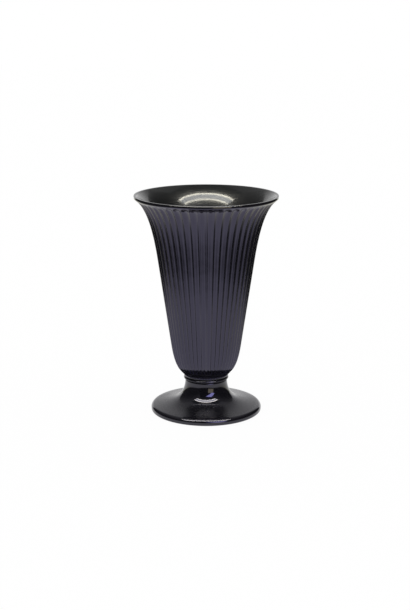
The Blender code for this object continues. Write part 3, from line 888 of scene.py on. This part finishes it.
# %% The screw's outline
SCREW_RADIUS, SCREW_LENGTH, HEAD_BASE, SCREW_STEPS = 0.003, 0.03, 0.04105, 64
HEAD_RADIUS, HEAD_HEIGHT, HEAD_EDGE, HEAD_LOW_EDGE, HEAD_FLAT = 0.006, 0.0036, 0.0022, 0.0002, 0.002
THREADS, THREAD_PITCH, THREAD_DEPTH = 18, 0.001, 0.00045
TIP_PLAIN, TIP_BEVEL = 0.0012, 0.0008


def screw_outline():
    """The domed head and the shank, whose thread is a row of fine grooves."""
    dome = [(0.0, HEAD_HEIGHT), (HEAD_FLAT, HEAD_HEIGHT)]
    head = outer_face(HEAD_RADIUS, 0.0, HEAD_HEIGHT, HEAD_LOW_EDGE, HEAD_EDGE, low_rows=3, high_rows=12)
    shank = [(SCREW_RADIUS, 0.0)]
    for i in range(THREADS):
        low = -SCREW_LENGTH + TIP_PLAIN + (THREADS - i) * THREAD_PITCH
        shank += [(SCREW_RADIUS, low), (SCREW_RADIUS - THREAD_DEPTH, low - THREAD_PITCH / 2)]
    tip = [(SCREW_RADIUS, -SCREW_LENGTH + TIP_BEVEL), (SCREW_RADIUS - TIP_BEVEL, -SCREW_LENGTH)]
    return dome + head + shank + tip + [(0.0, -SCREW_LENGTH)]


print("rows of the screw:", len(screw_outline()))

# %% The screw
DRIVE_WIDTH, DRIVE_LENGTH, DRIVE_DEPTH, DRIVE_TAPER = 0.0012, 0.0052, 0.0018, 0.72


def slot_cutter(length, width):
    """One bar of the cross slot, narrower at its bottom, half in the head and half above it."""
    bm = bmesh.new()
    bmesh.ops.create_cube(bm, size=1.0)
    for vertex in bm.verts:
        taper = 1.0 if vertex.co.z > 0 else DRIVE_TAPER
        vertex.co.x *= length * taper
        vertex.co.y *= width * taper
        vertex.co.z = HEAD_BASE + HEAD_HEIGHT + 2 * DRIVE_DEPTH * vertex.co.z
    mesh = bpy.data.meshes.new("slot")
    bm.to_mesh(mesh)
    bm.free()
    return in_scene("slot", mesh)


def make_screw():
    """The turned screw, with the two bars of its slot cut out one after the other."""
    screw = turned("screw", raised(screw_outline(), HEAD_BASE), SCREW_STEPS)
    for length, width in ((DRIVE_LENGTH, DRIVE_WIDTH), (DRIVE_WIDTH, DRIVE_LENGTH)):
        cutter = slot_cutter(length, width)
        step = screw.modifiers.new("slot", "BOOLEAN")
        step.operation = "DIFFERENCE"
        step.object = cutter
        mesh = plain_mesh(screw)
        bpy.data.objects.remove(cutter)
        screw = in_scene("screw", mesh)
    finished("pan_head_screw", plain_mesh(screw), [turned_steel], "screw_steel", "clamp_screw")


make_screw()

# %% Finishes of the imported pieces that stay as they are
for node in ("spring_washer", "clamp_nut"):
    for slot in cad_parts[node].material_slots:
        slot.material = turned_steel
    print(node, "stays as packed, in", turned_steel.name)

# %% [markdown]
# ## Floor and light
# On black gloss the room itself is the picture, so the vase stands in a small light box: a pale back, dim
# side walls, a dark front, a grey roof with one long lamp, and two small lights low on the right. The floor
# gives the violet grey of the body, the dark front the black line of the lip, and the lamp the arcs inside
# the bell. The walls are flat cards that only reflections see, so that they never hide the vase.


# %% Cards and their light
def glow(name, colour, strength, low=0.0, high=0.0, high_strength=0.0):
    """A card's light. With a low and a high end it changes with height, as light does along a wall."""
    material = bpy.data.materials.new(name)
    material.use_nodes = True
    tree = material.node_tree
    tree.nodes.clear()
    light = tree.nodes.new("ShaderNodeEmission")
    light.inputs["Color"].default_value = (*colour, 1.0)
    light.inputs["Strength"].default_value = strength
    if high > low:
        height = split(tree, object_place(tree))[2]
        tree.links.new(remap(tree, height, low, high, strength, high_strength), light.inputs["Strength"])
    last = tree.nodes.new("ShaderNodeOutputMaterial")
    tree.links.new(light.outputs[0], last.inputs["Surface"])
    return material


def card(name, corners, material):
    """A flat card that only reflections see."""
    mesh = bpy.data.meshes.new(name)
    mesh.from_pydata(corners, [], [(0, 1, 2, 3)])
    obj = in_scene(name, mesh)
    mesh.materials.append(material)
    obj.visible_camera = False
    obj.visible_diffuse = False
    obj.visible_shadow = False


def flat_card(name, half_width, front, back, height, material):
    """A level card from one depth to another."""
    sides = ((-half_width, front), (half_width, front), (half_width, back), (-half_width, back))
    card(name, [(x, y, height) for x, y in sides], material)


def upright(name, start, end, low, high, material):
    """An upright card over the line between two places, from one height to another."""
    card(name, ((*start, low), (*end, low), (*end, high), (*start, high)), material)


# %% The walls, the front and the back
LEFT, RIGHT, FRONT, BACK, ROOF = -0.85, 0.85, -1.35, 1.15, 1.2
BACK_MIDDLE, WALL_FADE = 0.38, (0.3, 1.1)
WHITE = (1.0, 1.0, 1.0)
left_grey = glow("left_grey", WHITE, 0.05, *WALL_FADE, high_strength=0.24)
right_grey = glow("right_grey", WHITE, 0.03, *WALL_FADE, high_strength=0.17)
dark = glow("dark", WHITE, 0.02)
back_low = glow("back_low", WHITE, 1.35, 0.0, BACK_MIDDLE, high_strength=0.8)
back_high = glow("back_high", WHITE, 0.8, BACK_MIDDLE, ROOF, high_strength=0.35)
upright("left_wall", (LEFT, FRONT), (LEFT, BACK), 0.0, ROOF, left_grey)
upright("right_wall", (RIGHT, FRONT), (RIGHT, BACK), 0.0, ROOF, right_grey)
upright("open_front", (LEFT, FRONT), (RIGHT, FRONT), 0.0, ROOF, dark)
upright("back_low", (LEFT, BACK), (RIGHT, BACK), 0.0, BACK_MIDDLE, back_low)
upright("back_high", (LEFT, BACK), (RIGHT, BACK), BACK_MIDDLE, ROOF, back_high)

# %% The roof, darker in front
ROOF_CHANGE = 0.08
roof_grey = glow("roof_grey", (0.9, 1.0, 1.0), 0.12)
roof_pale = glow("roof_pale", WHITE, 0.35)
flat_card("roof", RIGHT, FRONT, ROOF_CHANGE, ROOF, roof_grey)
flat_card("roof_back", RIGHT, ROOF_CHANGE, BACK, ROOF, roof_pale)
print("the light box is (m)", RIGHT - LEFT, "wide,", BACK - FRONT, "deep and", ROOF, "high")

# %% [markdown]
# ## The floor that reflections see
# The flutes and the foot mirror the floor. It is white close to the vase, grows dark in front and at both
# sides, and is a little warmer at the sides. A card just above the real floor carries that, so that the floor
# which the camera sees stays plain.

# %% The floor's card
FADE_FRONT, FADE_SIDE = (0.21, 0.38), (0.18, 0.33)  # distances where the dark starts and where it is full
FADE_MIDDLE, FADE_SPREAD, FADE_HEIGHT = -0.014, 0.35, 0.0002
LIT, UNLIT = 0.98, 0.03
WARM, WARM_SIDE, WARM_BEHIND, WARM_SKEW = (0.9, 0.89, 0.75, 1.0), (0.1, 0.19), (-0.11, 0.04), 0.2
floor_fade = glow("floor_fade", WHITE, LIT)
tree = floor_fade.node_tree
calc = partial(op, tree)
light = tree.nodes["Emission"]
across, depth, _ = split(tree, object_place(tree))
aside = calc("ABSOLUTE", calc("SUBTRACT", across, FADE_MIDDLE))
wider = calc("MULTIPLY", calc("MAXIMUM", depth, 0.0), FADE_SPREAD)
side_fade = remap(tree, calc("SUBTRACT", aside, wider), *FADE_SIDE, 1.0, 0.0)
front_fade = remap(tree, calc("MULTIPLY", depth, -1.0), *FADE_FRONT, 1.0, 0.0)
both = calc("MULTIPLY", side_fade, front_fade)
tree.links.new(calc("MULTIPLY_ADD", both, LIT - UNLIT, UNLIT), light.inputs["Strength"])
behind = remap(tree, calc("MULTIPLY_ADD", across, WARM_SKEW, depth), *WARM_BEHIND)
warm_part = calc("MULTIPLY", behind, remap(tree, aside, *WARM_SIDE))
tree.links.new(mixed(tree, warm_part, (*WHITE, 1.0), WARM), light.inputs["Color"])
flat_card("floor_fade", RIGHT, FRONT, BACK, FADE_HEIGHT, floor_fade)
print(floor_fade.name, "holds", len(tree.nodes), "nodes")

# %% The long lamp under the roof
LAMP_HEIGHT, LAMP_HALF, LAMP_FRONT, LAMP_BACK, LAMP_EDGE = 0.7, 0.56, -0.47, -0.23, 0.032
panel_white = glow("panel_white", (0.95, 0.98, 1.0), 5.0)
strip_warm = glow("strip_warm", (1.0, 0.95, 0.79), 26.0)
flat_card("lamp_panel", LAMP_HALF, LAMP_FRONT + LAMP_EDGE, LAMP_BACK - LAMP_EDGE, LAMP_HEIGHT, panel_white)
flat_card("lamp_front_strip", LAMP_HALF, LAMP_FRONT, LAMP_FRONT + LAMP_EDGE, LAMP_HEIGHT, strip_warm)
flat_card("lamp_back_strip", LAMP_HALF, LAMP_BACK - LAMP_EDGE, LAMP_BACK, LAMP_HEIGHT, strip_warm)
print("the lamp is (m)", round(2 * LAMP_HALF, 2), "long and", round(LAMP_BACK - LAMP_FRONT, 2), "wide")

# %% Two small lights low in front, on the right
LOW_LIGHT_DISTANCE = 0.6


def towards(degrees, height):
    """A place at the small lights' distance, this far round to the right from straight in front."""
    turn = math.radians(degrees)
    return (LOW_LIGHT_DISTANCE * math.sin(turn), -LOW_LIGHT_DISTANCE * math.cos(turn), height)


# name, colour, strength, and the degrees and height of each corner
SMALL_LIGHTS = (
    ("warm_light", (1.0, 0.9, 0.62), 1.7, ((11, 0.01), (38, 0.01), (36, 0.17), (9, 0.17))),
    ("blue_light", (0.5, 0.49, 1.0), 6.5, ((29, 0.15), (43, 0.19), (26, 0.44), (-2, 0.4))),
)
for name, colour, strength, corners in SMALL_LIGHTS:
    card(name, [towards(*corner) for corner in corners], glow(name, colour, strength))

# %% The floor
FLOOR_REACH, FLOOR_COLOUR = 6.0, (0.95, 0.95, 0.95, 1.0)
PLAIN_SHARE = 0.96  # share of plain white that the camera and reflections see, beside the lit floor
floor_white, tree, shader = new_material(
    "floor_white", Base_Color=FLOOR_COLOUR, Roughness=0.9, Specular_IOR_Level=0.0
)
calc = partial(op, tree)
rays = tree.nodes.new("ShaderNodeLightPath").outputs
mirrored = calc("MAXIMUM", rays["Is Glossy Ray"], rays["Is Transmission Ray"])
seen = calc("MAXIMUM", rays["Is Camera Ray"], mirrored)
white = tree.nodes.new("ShaderNodeEmission")
mix = tree.nodes.new("ShaderNodeMixShader")
tree.links.new(calc("MULTIPLY", seen, PLAIN_SHARE), mix.inputs[0])
tree.links.new(shader.outputs[0], mix.inputs[1])
tree.links.new(white.outputs[0], mix.inputs[2])
tree.links.new(mix.outputs[0], tree.nodes["Material Output"].inputs["Surface"])
mesh = bpy.data.meshes.new("floor")
corners = [(x * FLOOR_REACH, y * FLOOR_REACH, 0.0) for x, y in ((-1, -1), (1, -1), (1, 1), (-1, 1))]
mesh.from_pydata(corners, [], [(0, 1, 2, 3)])
mesh.materials.append(floor_white)
in_scene("floor", mesh)

# %% The world
world = bpy.data.worlds.new("plain_light")
bpy.context.scene.world = world
world.use_nodes = True
background = world.node_tree.nodes["Background"]
background.inputs["Color"].default_value = (1.0, 1.0, 1.0, 1.0)
background.inputs["Strength"].default_value = 1.0
print("floor and world:", floor_white.name, "and", world.name)

# %% The camera
camera = in_scene("camera", bpy.data.cameras.new("camera"))
camera.location = (-0.0010755, -1.0589, 0.3652)
camera.rotation_euler = (math.radians(75.89), 0.0, 0.0)
camera.data.sensor_width = 36.0
camera.data.lens = 70.87
bpy.context.scene.camera = camera
bpy.context.scene.view_settings.view_transform = "Standard"
print("the camera looks down by", round(90 - math.degrees(camera.rotation_euler[0]), 2), "degrees")
